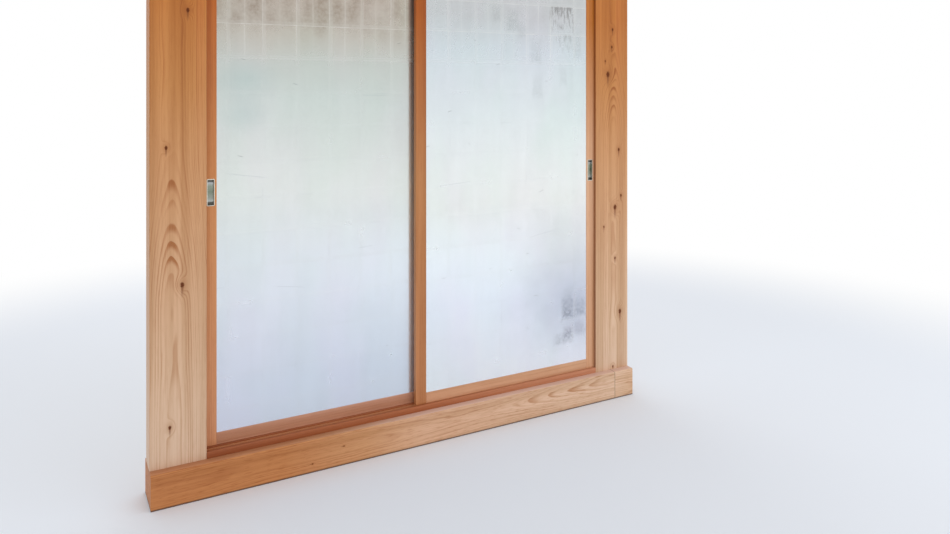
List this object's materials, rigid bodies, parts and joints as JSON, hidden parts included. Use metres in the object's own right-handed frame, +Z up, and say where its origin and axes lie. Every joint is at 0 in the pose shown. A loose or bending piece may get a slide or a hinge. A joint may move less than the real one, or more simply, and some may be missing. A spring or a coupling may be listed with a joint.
{
  "type": "pair of framed sliding door panels faced in silver leaf",
  "caption": "Overlapping floor-standing sliding panels with thin cedar frames and silver leaf faces, running in a grooved sill and head between timber posts on a base beam.",
  "frame": {"origin": "on the floor, under the middle of the base beam, halfway between its front and back faces", "axes": "+Z up; the front, which carries the metal leaf, faces -Y; the panels slide along X"},
  "size_m": [2.062, 0.15, 2.248],
  "materials": {
    "beam_wood": "planed, clear matt oil, pale with figured grain",
    "post_wood": "planed, clear matt oil, small knots",
    "sill_wood": "planed, darker reddish brown, satin",
    "panel_wood": "planed, straight grained, satin",
    "core_wood": "sawn, unfinished",
    "slip_strip": "hard smooth veneer strip",
    "silver_leaf": "board covered in squares of silver coloured metal leaf, soft blurred reflections",
    "backing_paper": "board covered in pale matt paper",
    "pull_metal": "satin metal"
  },
  "bodies": {
    "frame": {"base_beam": "beam_wood", "base_beam_end": "beam_wood", "sill": "sill_wood", "head": "sill_wood", "left_post": "post_wood", "right_post": "post_wood", "front_slip_strip": "slip_strip", "rear_slip_strip": "slip_strip"},
    "left_panel": {"left_panel_left_stile": "panel_wood", "left_panel_right_stile": "panel_wood", "left_panel_bottom_rail": "panel_wood", "left_panel_top_rail": "panel_wood", "left_panel_core_edge_strips": "core_wood", "left_panel_core_uprights": "core_wood", "left_panel_core_slats": "core_wood", "left_panel_core_corner_plates": "core_wood", "left_panel_front_face": "silver_leaf", "left_panel_back_face": "backing_paper", "left_panel_front_pull": "pull_metal", "left_panel_back_pull": "pull_metal", "left_panel_pull_pins": "pull_metal"},
    "right_panel": {"right_panel_left_stile": "panel_wood", "right_panel_right_stile": "panel_wood", "right_panel_bottom_rail": "panel_wood", "right_panel_top_rail": "panel_wood", "right_panel_core_edge_strips": "core_wood", "right_panel_core_uprights": "core_wood", "right_panel_core_slats": "core_wood", "right_panel_core_corner_plates": "core_wood", "right_panel_front_face": "silver_leaf", "right_panel_back_face": "backing_paper", "right_panel_front_pull": "pull_metal", "right_panel_back_pull": "pull_metal", "right_panel_pull_pins": "pull_metal"}
  },
  "joints": [
    {"name": "left_panel_slide", "type": "slide", "parent": "frame", "child": "left_panel", "axis": [1, 0, 0], "range_m": [0, 0.8035]},
    {"name": "right_panel_slide", "type": "slide", "parent": "frame", "child": "right_panel", "axis": [-1, 0, 0], "range_m": [0, 0.8035]}
  ]
}
